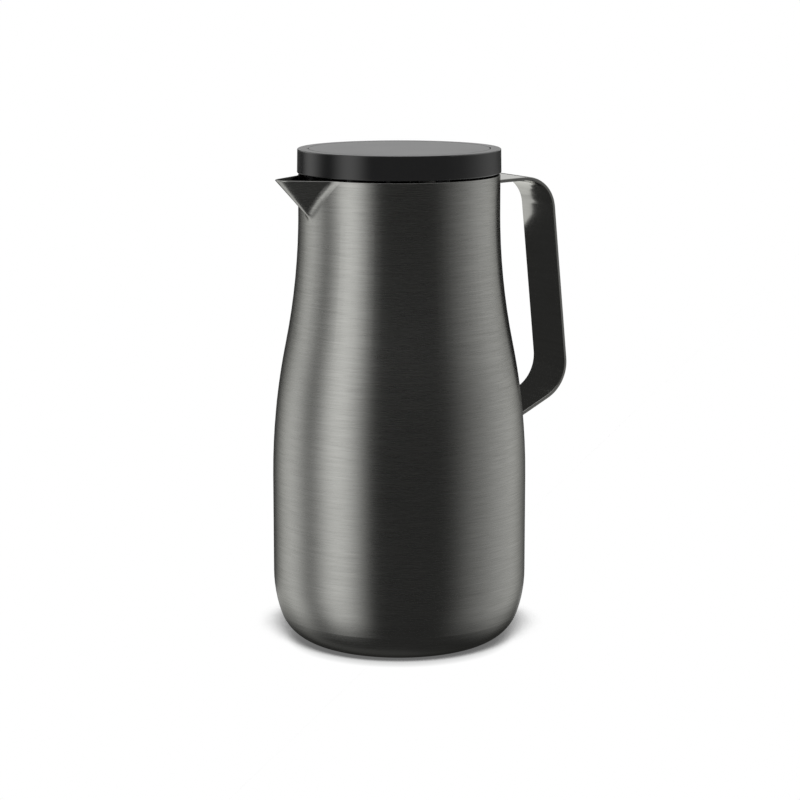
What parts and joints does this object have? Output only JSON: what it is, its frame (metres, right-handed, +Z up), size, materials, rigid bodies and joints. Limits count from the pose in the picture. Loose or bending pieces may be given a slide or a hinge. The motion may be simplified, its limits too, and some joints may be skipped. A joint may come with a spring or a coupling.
{
  "type": "thermal jug",
  "caption": "Vacuum jug of dark brushed steel with a pressed spout, a bent strap handle and a black stopper lid whose top plate is pressed down to pour.",
  "frame": {"origin": "on the jug's axis at the table, in the middle of the base pad's flat face", "axes": "+Z up along the jug's axis, +X towards the handle, -X towards the spout"},
  "size_m": [0.1485, 0.1194, 0.2338],
  "materials": {
    "dark_steel": "dark coated, brushed around the body",
    "bright_steel": "plain drawn stainless",
    "solder": "dull cast",
    "getter_alloy": "pressed powder",
    "black_rubber": "matt",
    "black_plastic": "fine satin moulding",
    "plate_plastic": "fine satin moulding",
    "white_plastic": "plain bearing plastic",
    "silicone": "soft grey silicone"
  },
  "bodies": {
    "jug": {"outer_shell": "dark_steel", "inner_liner": "bright_steel", "base_disc": "bright_steel", "vacuum_seal": "solder", "getter": "getter_alloy", "base_pad": "black_rubber", "handle_strap": "dark_steel"},
    "closure": {"lid_cover": "black_plastic", "lid_screws": "bright_steel", "stopper_body": "black_plastic", "seat_ring": "black_plastic", "neck_seal": "silicone", "stem_bush": "white_plastic", "stem_ring": "silicone", "ring_cap": "black_plastic", "return_spring": "bright_steel"},
    "plate": {"press_plate": "plate_plastic", "valve_stem": "bright_steel", "valve_disc": "black_plastic", "valve_gasket": "silicone", "stem_nut": "bright_steel"}
  },
  "joints": [
    {"name": "closure_lift", "type": "slide", "parent": "jug", "child": "closure", "axis": [0, 0, 1], "range_m": [0, 0.1]},
    {"name": "plate_press", "type": "slide", "parent": "closure", "child": "plate", "axis": [0, 0, -1], "range_m": [0, 0.004], "stiffness_N_per_m": 600, "springref_m": -0.01, "deforming": ["return_spring"]}
  ]
}
